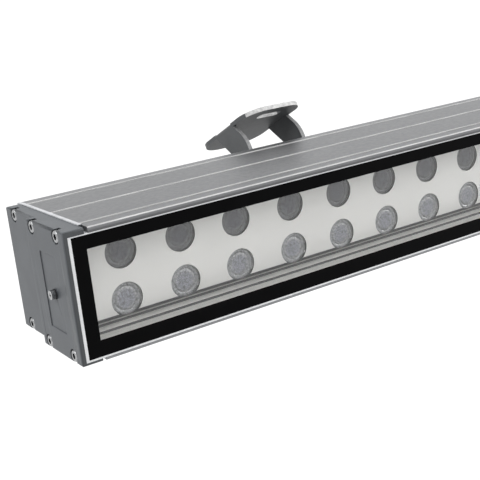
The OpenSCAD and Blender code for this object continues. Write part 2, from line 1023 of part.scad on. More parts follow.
module earth_screw() {
    color(steel)
        translate([-lamp_len / 2 - earth_washer_t, front_y + earth_depth, row_mid_z])
            difference() {
                union() {
                    rod_x(earth_r, earth_len);
                    translate([-earth_head_h, 0, 0]) rod_x(earth_head_r, earth_head_h);
                }
                for (a = [0, 90])
                    rotate([a, 0, 0])
                        translate([-earth_head_h - over, -earth_cross_len / 2, -earth_cross_w / 2])
                            cube([over + earth_cross_d, earth_cross_len, earth_cross_w]);
            }
}

module earth_washer() {
    color(steel)
        translate([-lamp_len / 2 - earth_washer_t, front_y + earth_depth, row_mid_z])
            difference() {
                rod_x(earth_washer_r, earth_washer_t);
                translate([-over, 0, 0]) rod_x(earth_r + loose, earth_washer_t + 2 * over);
            }
}

// Cable gland on the right cap; x = 0 is the cap's rear face and +x leads outwards
module at_gland() {
    translate([lamp_len / 2 - cap_step, gland_y, body_h / 2]) children();
}

module gland_body() {
    thread_len = cap_wall + gland_lock_t + gland_tail;
    hex_x = gland_washer_t;
    color(paint)
        at_gland()
            difference() {
                union() {
                    translate([-thread_len, 0, 0]) rod_x(gland_r, thread_len + gland_washer_t);
                    translate([hex_x, 0, 0])
                        rotate([0, 90, 0]) cylinder(r = gland_hex_r, h = gland_hex_t, $fn = 6);
                    translate([hex_x + gland_hex_t, 0, 0]) rod_x(gland_neck_r, gland_neck_len);
                }
                translate([-thread_len - over, 0, 0])
                    rod_x(cable_r + loose, thread_len + hex_x + gland_hex_t + 2 * over);
                translate([hex_x + gland_hex_t, 0, 0])
                    rod_x(gland_seal_r + fit, gland_neck_len + over);
            }
}

module gland_washer() {
    color(black)
        at_gland()
            difference() {
                rod_x(gland_washer_r, gland_washer_t);
                translate([-over, 0, 0]) rod_x(gland_r + fit, gland_washer_t + 2 * over);
            }
}

module gland_locknut() {
    color(paint)
        at_gland()
            translate([-cap_wall - gland_lock_t, 0, 0])
                difference() {
                    rotate([0, 90, 0]) cylinder(r = gland_hex_r, h = gland_lock_t, $fn = 6);
                    translate([-over, 0, 0]) rod_x(gland_r + fit, gland_lock_t + 2 * over);
                }
}

module gland_seal() {
    color(black)
        at_gland()
            translate([gland_washer_t + gland_hex_t, 0, 0])
                difference() {
                    rod_x(gland_seal_r, gland_seal_len);
                    translate([-over, 0, 0]) rod_x(cable_r, gland_seal_len + 2 * over);
                }
}

module gland_nut() {
    start = gland_washer_t + gland_hex_t;
    color(paint)
        at_gland()
            translate([start + slide, 0, 0])
                difference() {
                    union() {
                        rotate([0, 90, 0])
                            cylinder(r = gland_hex_r, h = gland_nut_len / 2, $fn = 6);
                        rod_x(gland_nut_r, gland_nut_len);
                    }
                    translate([-over, 0, 0]) rod_x(gland_neck_r + fit, over + gland_neck_len);
                    translate([-over, 0, 0])
                        rod_x(gland_seal_r + fit, over + gland_seal_len);
                    rod_x(cable_r + loose, gland_nut_len + over);
                }
}

// Brackets and feet, drawn for the bracket in the middle of the lamp

// Points along one side of an arm's bend, at a distance r from the bend's middle
function arm_side(r, steps) =
    [for (i = [0 : steps])
        [arm_bend_r - r * cos(arm_turn * i / steps), arm_rise + r * sin(arm_turn * i / steps)]];

// An arm from its pivot through its bend to beyond the plate, as it stands before the tilt
module arm_band() {
    outer = arm_side(arm_outer_r, arm_outer_steps);
    inner = arm_side(arm_inner_r, arm_inner_steps);
    run = plate_rise * [sin(arm_turn), cos(arm_turn)];
    circle(boss_r);
    polygon(concat(
        [[-arm_w / 2, 0]],
        outer,
        [outer[arm_outer_steps] + run, inner[arm_inner_steps] + run],
        [for (i = [arm_inner_steps : -1 : 0]) inner[i]],
        [[arm_w / 2, 0]]
    ));
}

// Side view of an arm, with the pivot at the origin and the plate level above it
module arm_outline() {
    difference() {
        intersection() {
            rotate(plate_tilt) arm_band();
            translate([-plate_rise, -boss_r])
                square([2 * plate_rise, boss_r + plate_rise]);
        }
        circle(pivot_r + slide);
    }
}

// Outline of the bracket's plate as (x, distance behind the pivot)
module plate_outline() {
    translate([-bracket_w / 2, -plate_front])
        rounded_panel([bracket_w, plate_front + plate_rear],
                      [bracket_corner_r, bracket_corner_r, bracket_nose_r, bracket_nose_r]);
}

module slot_outline() {
    reach = (slot_len - slot_w) / 2;
    translate([0, slot_inset - plate_front]) {
        square([2 * reach, slot_w], center = true);
        for (s = [-1, 1]) translate([s * reach, 0]) circle(slot_w / 2);
    }
}

module bracket() {
    color(paint)
        translate([0, pivot_y, pivot_z])
            rotate([-plate_tilt, 0, 0])
                difference() {
                    union() {
                        translate([0, 0, plate_under])
                            linear_extrude(bracket_t)
                                difference() {
                                    plate_outline();
                                    slot_outline();
                                }
                        for (s = [-1, 1])
                            translate([s * (bracket_w - bracket_t) / 2, 0, 0])
                                along_x(bracket_t) arm_outline();
                    }
                    for (s = [0, 1])
                        mirror([s, 0, 0])
                            translate([bracket_w / 2, arm_root_back, plate_rise])
                                rotate([90, 0, 0])
                                    linear_extrude(arm_root_back - arm_root_front)
                                        rotate(180) corner_waste(bend_r);
                }
}

module foot_outline() {
    translate([back_y + slide, foot_low_z]) square([foot_t, foot_top_z - foot_low_z]);
    translate([back_y + slide, pivot_z - barrel_r]) square([pivot_back - slide, 2 * barrel_r]);
}

module at_foot_screws() {
    for (s = [-1, 1]) translate([s * foot_screw_span / 2, 0, rail_z]) children();
}

module foot() {
    color(cast)
        difference() {
            union() {
                along_x(foot_w) foot_outline();
                translate([-barrel_len / 2, pivot_y, pivot_z]) rod_x(barrel_r, barrel_len);
            }
            translate([-bracket_w / 2, pivot_y, pivot_z]) rod_x(pivot_r + slide, bracket_w);
            translate([0, back_y - over, 0])
                at_foot_screws() rod_y(foot_screw_r + loose, foot_t + 2 * over);
        }
}

module rail_nuts() {
    color(steel)
        at_foot_screws()
            translate([0, back_y - rail_lip_t - slide - rail_nut_t, 0])
                difference() {
                    translate([-rail_nut_w / 2, 0, -rail_nut_h / 2])
                        cube([rail_nut_w, rail_nut_t, rail_nut_h]);
                    translate([0, -over, 0])
                        rod_y(foot_screw_r + fit, rail_nut_t + 2 * over);
                }
}

module foot_screws() {
    color(steel)
        translate([0, back_y + slide + foot_t, 0])
            at_foot_screws()
                rotate([0, 0, -90])
                    socket_screw(foot_screw_r, foot_screw_len, foot_head_r, foot_head_h,
                                 foot_socket_r);
}

module pivot_bolt() {
    start = bracket_w / 2 + slide + washer_t;
    color(steel)
        translate([-start, pivot_y, pivot_z]) {
            rod_x(pivot_r, 2 * start + nut_h + bolt_tail);
            translate([-bolt_head_h, 0, 0])
                rotate([0, 90, 0]) cylinder(r = bolt_head_r, h = bolt_head_h, $fn = 6);
        }
}

module pivot_washers() {
    color(steel)
        for (s = [0, 1])
            mirror([s, 0, 0])
                translate([bracket_w / 2 + slide, pivot_y, pivot_z])
                    difference() {
                        rod_x(washer_r, washer_t);
                        translate([-over, 0, 0])
                            rod_x(pivot_r + slide, washer_t + 2 * over);
                    }
}

module pivot_nut() {
    color(steel)
        translate([bracket_w / 2 + slide + washer_t, pivot_y, pivot_z])
            difference() {
                rotate([0, 90, 0]) cylinder(r = bolt_head_r, h = nut_h, $fn = 6);
                translate([-over, 0, 0]) rod_x(pivot_r + fit, nut_h + 2 * over);
            }
}

module on_left() {
    translate([-bracket_span / 2, 0, 0]) children();
}

module on_right() {
    translate([bracket_span / 2, 0, 0]) children();
}

housing_extrusion();
end_cap_left();
end_cap_right();
end_gasket_left();
end_gasket_right();
cap_screws_left();
cap_screws_right();
front_glass();
glass_border();
glass_seal();
reflector_plate();
reflector_posts();
post_screws();
led_board_1();
led_board_2();
led_board_3();
led_board_4();
led_board_5();
board_links();
board_screws();
led_emitters();
lens_holders_top();
lens_holders_bottom();
lenses_top();
lenses_bottom();
driver_board();
driver_spacers();
driver_screws();
driver_transformer();
driver_capacitors();
driver_choke();
driver_terminals();
led_feed_leads();
earth_screw();
earth_washer();
gland_body();
gland_washer();
gland_locknut();
gland_seal();
gland_nut();
on_left() bracket();  // bracket_left
on_right() bracket();  // bracket_right
on_left() foot();  // foot_left
on_right() foot();  // foot_right
on_left() rail_nuts();  // rail_nuts_left
on_right() rail_nuts();  // rail_nuts_right
on_left() foot_screws();  // foot_screws_left
on_right() foot_screws();  // foot_screws_right
on_left() pivot_bolt();  // pivot_bolt_left
on_right() pivot_bolt();  // pivot_bolt_right
on_left() pivot_washers();  // pivot_washers_left
on_right() pivot_washers();  // pivot_washers_right
on_left() pivot_nut();  // pivot_nut_left
on_right() pivot_nut();  // pivot_nut_right
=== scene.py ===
import json
import math

import bpy
from mathutils import Matrix, Vector

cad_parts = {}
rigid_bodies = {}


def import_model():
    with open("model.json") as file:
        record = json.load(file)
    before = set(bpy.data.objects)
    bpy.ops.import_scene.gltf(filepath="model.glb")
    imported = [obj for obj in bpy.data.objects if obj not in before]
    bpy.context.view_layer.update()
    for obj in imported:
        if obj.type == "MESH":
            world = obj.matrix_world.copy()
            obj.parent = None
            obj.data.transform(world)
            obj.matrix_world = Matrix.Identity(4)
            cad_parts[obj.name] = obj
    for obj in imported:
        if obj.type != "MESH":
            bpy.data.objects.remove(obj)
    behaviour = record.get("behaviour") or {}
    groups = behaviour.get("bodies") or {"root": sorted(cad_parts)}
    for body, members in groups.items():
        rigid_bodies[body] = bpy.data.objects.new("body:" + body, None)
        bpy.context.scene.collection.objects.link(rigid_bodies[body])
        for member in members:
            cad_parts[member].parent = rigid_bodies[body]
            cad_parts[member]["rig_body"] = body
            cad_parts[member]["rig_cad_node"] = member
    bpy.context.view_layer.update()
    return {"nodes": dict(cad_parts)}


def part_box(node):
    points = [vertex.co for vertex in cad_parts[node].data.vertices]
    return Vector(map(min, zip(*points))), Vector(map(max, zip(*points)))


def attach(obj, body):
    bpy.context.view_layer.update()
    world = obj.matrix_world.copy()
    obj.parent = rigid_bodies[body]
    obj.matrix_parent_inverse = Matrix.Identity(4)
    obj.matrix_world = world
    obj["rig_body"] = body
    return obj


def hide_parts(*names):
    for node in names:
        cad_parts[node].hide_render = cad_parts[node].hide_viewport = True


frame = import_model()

nodes = frame["nodes"]


# Camera: the photographer stood off the lamp's left end and looked down on it a little,
# with a moderately long lens. The place and the angles come from the lamp's own edges.
camera_place = (-0.6888, -0.5147, 0.2025)
camera_turn = (74.078, 5.921, -34.207)
camera_lens = 73.78
camera_sensor = 36.0

bpy.ops.object.select_all(action="DESELECT")
bpy.ops.object.camera_add(location=camera_place,
                          rotation=[math.radians(angle) for angle in camera_turn])
camera = bpy.context.object
camera.name = "photo_camera"
camera.data.lens = camera_lens
camera.data.sensor_width = camera_sensor
camera.data.clip_start = 0.01
camera.data.clip_end = 200.0
bpy.context.scene.camera = camera


# Housing: one aluminium extrusion, bead-blasted and anodised a plain grey outside. Long die
# lines run the length of it, and its LED chamber is left bright. The grooves' back walls and
# the front top edge are painted light as a painted highlight; the groove floors, the grooves'
# front edges and the chamber's narrow faces are painted dark as painted shade; and the chamber
# floor darkens towards its back as a painted shadow at the reflector's foot.
housing_grey = (0.222, 0.225, 0.232, 1.0)
housing_grey_dark = (0.206, 0.209, 0.216, 1.0)
chamber_bright = (0.97, 0.955, 0.92, 1.0)
chamber_dull = (0.90, 0.88, 0.85, 1.0)
# Painted shadow at the reflector's foot: the chamber darkens to near black towards its back
chamber_foot_shadow = (0.10, 0.10, 0.10, 1.0)
foot_shadow_start = 0.0042
foot_shadow_end = 0.0020
# Painted highlight for the grooves' back walls and the front top edge
edge_highlight_light = (0.72, 0.72, 0.715, 1.0)
edge_highlight_dull = (0.46, 0.46, 0.46, 1.0)
# Painted shade for the groove floors, the grooves' front edges and the chamber's narrow faces
groove_shade_dark = (0.075, 0.076, 0.079, 1.0)
groove_shade_grey = (0.105, 0.107, 0.110, 1.0)
groove_edge = 0.0006
outer_edge = 0.0003
chamber_low = (-0.0425, 0.0045)
chamber_high = (-0.0068, 0.0745)


def new_finish(name, colour, roughness, metallic=0.0):
    """A material whose Principled shader has a plain colour, roughness and metallic."""
    finish = bpy.data.materials.new(name)
    finish.use_nodes = True
    finish.diffuse_color = colour
    shader = finish.node_tree.nodes["Principled BSDF"]
    shader.inputs["Base Color"].default_value = colour
    shader.inputs["Roughness"].default_value = roughness
    shader.inputs["Metallic"].default_value = metallic
    return finish


def shader_of(finish):
    return finish.node_tree.nodes["Principled BSDF"]


def coordinates(finish, stretch=(1.0, 1.0, 1.0)):
    """Object coordinates, drawn out along the axes by stretch."""
    tree = finish.node_tree
    place = tree.nodes.new("ShaderNodeTexCoord")
    mapping = tree.nodes.new("ShaderNodeMapping")
    mapping.inputs["Scale"].default_value = stretch
    tree.links.new(place.outputs["Object"], mapping.inputs["Vector"])
    return mapping.outputs["Vector"]


def noise(finish, scale, stretch=(1.0, 1.0, 1.0), detail=4.0):
    """Cloudy noise; scale is in cells to the metre."""
    tree = finish.node_tree
    texture = tree.nodes.new("ShaderNodeTexNoise")
    texture.inputs["Scale"].default_value = scale
    texture.inputs["Detail"].default_value = detail
    tree.links.new(coordinates(finish, stretch), texture.inputs["Vector"])
    return texture.outputs["Fac"]


def blend_colours(finish, share, dark, light, low=0.3, high=0.7):
    """Base colour that runs from dark to light as share runs from low to high."""
    tree = finish.node_tree
    ramp = tree.nodes.new("ShaderNodeValToRGB")
    ramp.color_ramp.elements[0].position = low
    ramp.color_ramp.elements[0].color = dark
    ramp.color_ramp.elements[1].position = high
    ramp.color_ramp.elements[1].color = light
    tree.links.new(share, ramp.inputs["Fac"])
    tree.links.new(ramp.outputs["Color"], shader_of(finish).inputs["Base Color"])
    return ramp


def blend_roughness(finish, share, smooth, rough):
    tree = finish.node_tree
    span = tree.nodes.new("ShaderNodeMapRange")
    span.inputs["From Min"].default_value = 0.3
    span.inputs["From Max"].default_value = 0.7
    span.inputs["To Min"].default_value = smooth
    span.inputs["To Max"].default_value = rough
    tree.links.new(share, span.inputs["Value"])
    tree.links.new(span.outputs["Result"], shader_of(finish).inputs["Roughness"])


def relief(finish, share, height, strength=1.0, edge_radius=0.0):
    """Bumps of the given height in metres, over edges rounded by edge_radius."""
    tree = finish.node_tree
    bump = tree.nodes.new("ShaderNodeBump")
    bump.inputs["Distance"].default_value = height
    bump.inputs["Strength"].default_value = strength
    tree.links.new(share, bump.inputs["Height"])
    tree.links.new(bump.outputs["Normal"], shader_of(finish).inputs["Normal"])
    if edge_radius:
        edge = tree.nodes.new("ShaderNodeBevel")
        edge.samples = 4
        edge.inputs["Radius"].default_value = edge_radius
        tree.links.new(edge.outputs["Normal"], bump.inputs["Normal"])


def dress(finish, *names):
    """Puts the finish on CAD nodes."""
    for name in names:
        for held in nodes[name].material_slots:
            held.material = finish


def merged_copy(node, name, *finishes):
    """A copy of a CAD node in new finishes, its points joined and its flat faces whole."""
    piece = nodes[node].copy()
    piece.data = nodes[node].data.copy()
    piece.parent = None
    piece.name = name
    piece.data.name = name
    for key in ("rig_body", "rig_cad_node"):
        del piece[key]
    piece.data.materials.clear()
    for finish in finishes:
        piece.data.materials.append(finish)
    bpy.context.scene.collection.objects.link(piece)
    bpy.ops.object.select_all(action="DESELECT")
    piece.select_set(True)
    bpy.context.view_layer.objects.active = piece
    bpy.ops.object.mode_set(mode="EDIT")
    bpy.ops.mesh.select_all(action="SELECT")
    bpy.ops.mesh.remove_doubles(threshold=0.000002)
    bpy.ops.mesh.dissolve_limited(angle_limit=math.radians(0.5))
    bpy.ops.object.mode_set(mode="OBJECT")
    return piece


def round_edges(piece, wanted, width, finish, steps=2, clamp=False):
    """Rounds the sharp edges for which wanted(first, last) is true, in one of its finishes."""
    bpy.ops.object.mode_set(mode="EDIT")
    bpy.ops.mesh.select_mode(type="EDGE")
    bpy.ops.mesh.select_all(action="DESELECT")
    bpy.ops.mesh.edges_select_sharp(sharpness=math.radians(40))
    bpy.ops.object.mode_set(mode="OBJECT")
    points = piece.data.vertices
    for edge in piece.data.edges:
        first, last = (points[i].co for i in edge.vertices)
        edge.select = edge.select and wanted(first, last)
    for face in piece.data.polygons:
        face.select = False
    bpy.ops.object.mode_set(mode="EDIT")
    bpy.ops.mesh.bevel(offset=width, segments=steps, material=finish, clamp_overlap=clamp)
    bpy.ops.object.mode_set(mode="OBJECT")


def smooth_shading(piece, angle):
    """Smooth shading below the angle, with flat faces kept flat."""
    bpy.ops.object.shade_smooth_by_angle(angle=math.radians(angle))
    flat = piece.modifiers.new("flat_faces", "WEIGHTED_NORMAL")
    flat.keep_sharp = True
    bpy.ops.object.modifier_apply(modifier="flat_faces")


anodised = new_finish("anodised_extrusion", housing_grey, 0.42, 0.85)
die_lines = noise(anodised, 1.0, (5.0, 900.0, 900.0), 2.0)
blend_colours(anodised, die_lines, housing_grey_dark, housing_grey)
blend_roughness(anodised, noise(anodised, 400.0), 0.38, 0.48)
relief(anodised, noise(anodised, 2600.0), 0.00003, 0.5, 0.00025)

painted_edge_highlight = new_finish("painted_edge_highlight", edge_highlight_light, 0.40)
blend_colours(painted_edge_highlight, noise(painted_edge_highlight, 1.0, (40.0, 900.0, 900.0), 3.0), edge_highlight_dull,
              edge_highlight_light)
relief(painted_edge_highlight, noise(painted_edge_highlight, 2600.0), 0.00002, 0.4)

painted_groove_shade = new_finish("painted_groove_shade", groove_shade_grey, 0.45, 0.6)
blend_colours(painted_groove_shade, noise(painted_groove_shade, 1.0, (40.0, 900.0, 900.0), 3.0), groove_shade_dark, groove_shade_grey)
relief(painted_groove_shade, noise(painted_groove_shade, 2600.0), 0.00002, 0.4)

bright_chamber = new_finish("bright_chamber", chamber_bright, 0.35, 0.1)
chamber_ramp = blend_colours(bright_chamber, noise(bright_chamber, 1.0, (5.0, 900.0, 900.0), 2.0),
                             chamber_dull, chamber_bright)
chamber_tree = bright_chamber.node_tree
chamber_axes = chamber_tree.nodes.new("ShaderNodeSeparateXYZ")
chamber_tree.links.new(coordinates(bright_chamber), chamber_axes.inputs["Vector"])
# Painted shadow at the reflector's foot, blended in by the Y coordinate
near_foot_shadow = chamber_tree.nodes.new("ShaderNodeMapRange")
near_foot_shadow.inputs["From Min"].default_value = chamber_high[0] - foot_shadow_start
near_foot_shadow.inputs["From Max"].default_value = chamber_high[0] - foot_shadow_end
chamber_tree.links.new(chamber_axes.outputs["Y"], near_foot_shadow.inputs["Value"])
chamber_mix = chamber_tree.nodes.new("ShaderNodeMix")
chamber_mix.data_type = "RGBA"
chamber_tree.links.new(near_foot_shadow.outputs["Result"], chamber_mix.inputs["Factor"])
chamber_tree.links.new(chamber_ramp.outputs["Color"], chamber_mix.inputs["A"])
chamber_mix.inputs["B"].default_value = chamber_foot_shadow
chamber_tree.links.new(chamber_mix.outputs["Result"],
                       shader_of(bright_chamber).inputs["Base Color"])
relief(bright_chamber, noise(bright_chamber, 2600.0), 0.00002, 0.4)

tube_low, tube_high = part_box("housing_extrusion")
tube_len = tube_high.x - tube_low.x
line_depth = 0.0008
line_width = 0.0030
front_round = 0.0008
hair = 0.0001


def on_top(first, last):
    """True for an edge that runs along the top face, at the brink of a groove."""
    return abs(first.x - last.x) > tube_len / 2 and min(first.z, last.z) > tube_high.z - hair


def width_of(face, axis):
    places = [tube.data.vertices[i].co[axis] for i in face.vertices]
    return max(places) - min(places)


tube = merged_copy("housing_extrusion", "grooved_housing", anodised, painted_edge_highlight, painted_groove_shade,
                   bright_chamber)
floors = [face.center.copy() for face in tube.data.polygons
          if face.normal.z > 0.9 and abs(face.center.z - tube_high.z + line_depth) < hair]
walls = [face.center.copy() for face in tube.data.polygons
         if face.normal.y < -0.9 and abs(face.center.z - tube_high.z + line_depth / 2) < hair
         and face.center.y > tube_low.y + 0.005]


def at_back(first, last):
    return on_top(first, last) and any(abs(first.y - wall.y) < hair for wall in walls)


def at_front(first, last):
    return (on_top(first, last) and not at_back(first, last)
            and any(abs(first.y - floor.y) < 0.002 for floor in floors))


# Groove floors and narrow chamber faces get the painted groove shade; the grooves' back walls and
# the front top edge get the painted edge highlight.
for face in tube.data.polygons:
    middle = face.center
    if abs(face.normal.x) > 0.9:
        continue
    if all(low < place < high for low, place, high in zip(chamber_low, middle.yz, chamber_high)):
        face.material_index = 2 if width_of(face, 1) < line_width else 3
    elif any((middle - floor).length < hair for floor in floors):
        face.material_index = 2
    elif face.normal.y < -0.9 and any((middle - wall).length < hair for wall in walls):
        face.material_index = 1
    elif (middle.y < tube_low.y + front_round and middle.z > tube_high.z - front_round
          and face.normal.z > 0.25 and width_of(face, 1) < front_round):
        face.material_index = 1
# The grooves' front edges are rounded in the painted groove shade, their back edges in the painted
# edge highlight.
round_edges(tube, at_front, groove_edge, 2)
round_edges(tube, at_back, outer_edge, 1)
smooth_shading(tube, 35)
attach(tube, "lamp")
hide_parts("housing_extrusion")


# End caps: aluminium die castings, painted a bluish grey with a fine orange peel. The narrow
# rims that face forwards, beside the glass, are painted darker as painted shade.
cap_grey = (0.103, 0.113, 0.124, 1.0)
cap_grey_dark = (0.084, 0.092, 0.102, 1.0)
# Painted shade for the caps' forward-facing rims
rim_shade_grey = (0.069, 0.074, 0.079, 1.0)
rim_shade_grey_dark = (0.056, 0.060, 0.064, 1.0)

cast_paint = new_finish("cast_paint", cap_grey, 0.42, 0.25)
blend_colours(cast_paint, noise(cast_paint, 60.0), cap_grey_dark, cap_grey)
relief(cast_paint, noise(cast_paint, 1300.0), 0.00008, 0.6, 0.0009)

rim_painted_shade = new_finish("rim_painted_shade", rim_shade_grey, 0.45, 0.2)
blend_colours(rim_painted_shade, noise(rim_painted_shade, 60.0), rim_shade_grey_dark, rim_shade_grey)
relief(rim_painted_shade, noise(rim_painted_shade, 1300.0), 0.00008, 0.6, 0.0004)

for side in ("left", "right"):
    cap = merged_copy("end_cap_" + side, "cast_cap_" + side, cast_paint, rim_painted_shade)
    for face in cap.data.polygons:
        if face.normal.y < -0.7:
            face.material_index = 1
    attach(cap, "lamp")
    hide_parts("end_cap_" + side)


# Gaskets and glass seal: soft white silicone, cut from sheet behind the caps and laid as a
# bead round the glass, where it is squeezed out nearly flush with the housing's lip. The
# gaskets' front edges take the caps' dark rim colour, as painted shade.
seal_white = (0.92, 0.93, 0.94, 1.0)
seal_dusty = (0.80, 0.81, 0.82, 1.0)
gasket_white = (0.66, 0.67, 0.69, 1.0)
gasket_dusty = (0.50, 0.51, 0.53, 1.0)
squeezed_out = 0.0009


def silicone(name, white, dusty):
    finish = new_finish(name, white, 0.55)
    blend_colours(finish, noise(finish, 180.0), dusty, white, 0.2, 0.6)
    relief(finish, noise(finish, 900.0), 0.0001, 0.5, 0.0002)
    return finish


def select_faces(piece, wanted):
    """In edit mode, selects just the faces for which wanted(face) is true."""
    bpy.ops.object.mode_set(mode="EDIT")
    bpy.ops.mesh.select_mode(type="FACE")
    bpy.ops.mesh.select_all(action="DESELECT")
    bpy.ops.object.mode_set(mode="OBJECT")
    for face in piece.data.polygons:
        face.select = wanted(face)
    bpy.ops.object.mode_set(mode="EDIT")


sheet_silicone = silicone("sheet_silicone", gasket_white, gasket_dusty)
for side in ("left", "right"):
    gasket_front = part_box("end_gasket_" + side)[0].y
    gasket = merged_copy("end_gasket_" + side, "sheet_gasket_" + side, sheet_silicone,
                         rim_painted_shade)
    for face in gasket.data.polygons:
        if face.normal.y < -0.9 and face.center.y < gasket_front + hair:
            face.material_index = 1
    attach(gasket, "lamp")
    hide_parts("end_gasket_" + side)

seal_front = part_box("glass_seal")[0].y
bead = merged_copy("glass_seal", "silicone_bead", silicone("bead_silicone", seal_white, seal_dusty))
select_faces(bead, lambda face: face.normal.y < -0.9 and face.center.y < seal_front + hair)
bpy.ops.transform.translate(value=(0, -squeezed_out, 0))
bpy.ops.object.mode_set(mode="OBJECT")
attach(bead, "lamp")
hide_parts("glass_seal")


# Glass front: a toughened clear pane. Lamps shine through it as if it were open, and
# everything else sees real glass.
glass_tint = (0.985, 0.992, 0.988, 1.0)

clear_glass = new_finish("clear_glass", glass_tint, 0.0)
glass_shader = shader_of(clear_glass)
glass_shader.inputs["Transmission Weight"].default_value = 1.0
glass_shader.inputs["IOR"].default_value = 1.46
glass_tree = clear_glass.node_tree
lamp_ray = glass_tree.nodes.new("ShaderNodeLightPath")
open_way = glass_tree.nodes.new("ShaderNodeBsdfTransparent")
glass_mix = glass_tree.nodes.new("ShaderNodeMixShader")
glass_tree.links.new(lamp_ray.outputs["Is Shadow Ray"], glass_mix.inputs["Fac"])
glass_tree.links.new(glass_shader.outputs["BSDF"], glass_mix.inputs[1])
glass_tree.links.new(open_way.outputs["BSDF"], glass_mix.inputs[2])
glass_tree.links.new(glass_mix.outputs["Shader"],
                     glass_tree.nodes["Material Output"].inputs["Surface"])
dress(clear_glass, "front_glass")


# Black border: ceramic ink fired onto the glass all round. It hides the seal's bed and has
# the faint pinholes and unevenness of a screen print.
ink_black = (0.0022, 0.0022, 0.0024, 1.0)
ink_worn = (0.0032, 0.0032, 0.0035, 1.0)

black_ink = new_finish("black_ink", ink_black, 0.34)
shader_of(black_ink).inputs["Specular IOR Level"].default_value = 0.03
blend_colours(black_ink, noise(black_ink, 90.0), ink_black, ink_worn)
relief(black_ink, noise(black_ink, 1500.0), 0.00002, 0.4)
dress(black_ink, "glass_border")


# Reflector plate: aluminium sheet with a satin white-silver face and a round hole for each
# lens. The walls of the holes, and all of the sheet behind its front skin, are painted near
# black as painted shade.
plate_light = (0.700, 0.690, 0.674, 1.0)
plate_dark = (0.662, 0.652, 0.637, 1.0)
# Painted shade inside the holes and behind the sheet's front skin
hole_wall_shade = (0.018, 0.019, 0.021, 1.0)
plate_skin = 0.00012

satin_sheet = new_finish("satin_sheet", plate_light, 0.50, 0.35)
sheet_tree = satin_sheet.node_tree
sheet_ramp = blend_colours(satin_sheet, noise(satin_sheet, 14.0), plate_dark, plate_light)
sheet_axes = sheet_tree.nodes.new("ShaderNodeSeparateXYZ")
sheet_tree.links.new(coordinates(satin_sheet), sheet_axes.inputs["Vector"])
shaded_behind_face = sheet_tree.nodes.new("ShaderNodeMath")
shaded_behind_face.operation = "GREATER_THAN"
shaded_behind_face.inputs[1].default_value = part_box("reflector_plate")[0].y + plate_skin
sheet_tree.links.new(sheet_axes.outputs["Y"], shaded_behind_face.inputs[0])
sheet_mix = sheet_tree.nodes.new("ShaderNodeMix")
sheet_mix.data_type = "RGBA"
sheet_tree.links.new(shaded_behind_face.outputs["Value"], sheet_mix.inputs["Factor"])
sheet_tree.links.new(sheet_ramp.outputs["Color"], sheet_mix.inputs["A"])
sheet_mix.inputs["B"].default_value = hole_wall_shade
sheet_tree.links.new(sheet_mix.outputs["Result"], shader_of(satin_sheet).inputs["Base Color"])
relief(satin_sheet, noise(satin_sheet, 2200.0), 0.00001, 0.3)
dress(satin_sheet, "reflector_plate")


# Lenses: moulded from a milky clear plastic, with a beaded face. Each has a raised flange,
# a narrow groove and a shallow dish whose middle shows the LED behind it. The upper row's
# tones are painted darker than the lower row's, as painted shade.
lens_sides = 40
# Painted light level of each lens row: the upper row is painted darker as painted shade
lower_row_painted_light = 0.84
upper_row_painted_light = 0.38
lower_gloss = 0.8
upper_gloss = 0.15
beads_to_metre = 820.0
# Painted sparkle: each bead is painted light in its middle as a painted highlight and dark at its
# rim as painted shade
bead_painted_highlight = 1.70
bead_painted_shade = 0.40
lens_tones = (
    # share of the radius, and the colour there
    (0.00, (0.170, 0.174, 0.206)),
    (0.50, (0.176, 0.180, 0.208)),
    (0.60, (0.245, 0.249, 0.266)),
    (0.68, (0.262, 0.266, 0.276)),
    (0.76, (0.205, 0.209, 0.218)),
    (0.86, (0.228, 0.231, 0.240)),
    (0.95, (0.200, 0.203, 0.208)),
    # the last, near-black tone is painted shade at the lens's outer edge, beside the hole wall
    (1.00, (0.030, 0.031, 0.033)),
)
lens_steps = (
    # inset of the next ring, and how far it is pushed in, as shares of the lens radius
    (0.025, -0.018),
    (0.125, 0.000),
    (0.035, 0.010),
    (0.035, 0.022),
    (0.030, 0.016),
    (0.030, 0.002),
    (0.030, -0.014),
    (0.035, -0.022),
    (0.035, -0.010),
    (0.050, 0.002),
    (0.170, 0.012),
    (0.200, 0.006),
    (0.120, 0.000),
)


def settle(piece):
    """Puts the piece's place and turn into its mesh."""
    bpy.ops.object.select_all(action="DESELECT")
    piece.select_set(True)
    bpy.context.view_layer.objects.active = piece
    bpy.ops.object.transform_apply(location=True, rotation=True, scale=True)


def copies_at(pattern, name, places):
    """One piece made of copies of the pattern, moved to each of the places."""
    made = []
    for place in places:
        copy = pattern.copy()
        copy.data = pattern.data.copy()
        copy.data.transform(Matrix.Translation(place))
        bpy.context.scene.collection.objects.link(copy)
        made.append(copy)
    bpy.ops.object.select_all(action="DESELECT")
    for copy in made:
        copy.select_set(True)
    bpy.context.view_layer.objects.active = made[0]
    bpy.ops.object.join()
    made[0].name = name
    made[0].data.name = name
    return made[0]


def drop(piece):
    bpy.data.objects.remove(piece, do_unlink=True)


def middles(node, axis, gap=0.003):
    """Middles, along one axis, of a node's solids that stand apart by at least gap."""
    places = sorted(vertex.co[axis] for vertex in nodes[node].data.vertices)
    starts = [0] + [i for i in range(1, len(places)) if places[i] - places[i - 1] > gap]
    ends = starts[1:] + [len(places)]
    return [(places[first] + places[last - 1]) / 2 for first, last in zip(starts, ends)]


top_low, top_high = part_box("lenses_top")
lens_radius = (top_high.z - top_low.z) / 2
lens_depth = top_high.y - top_low.y
lens_face_y = top_low.y
lens_back_share = 0.45
rim_drop_share = 0.02

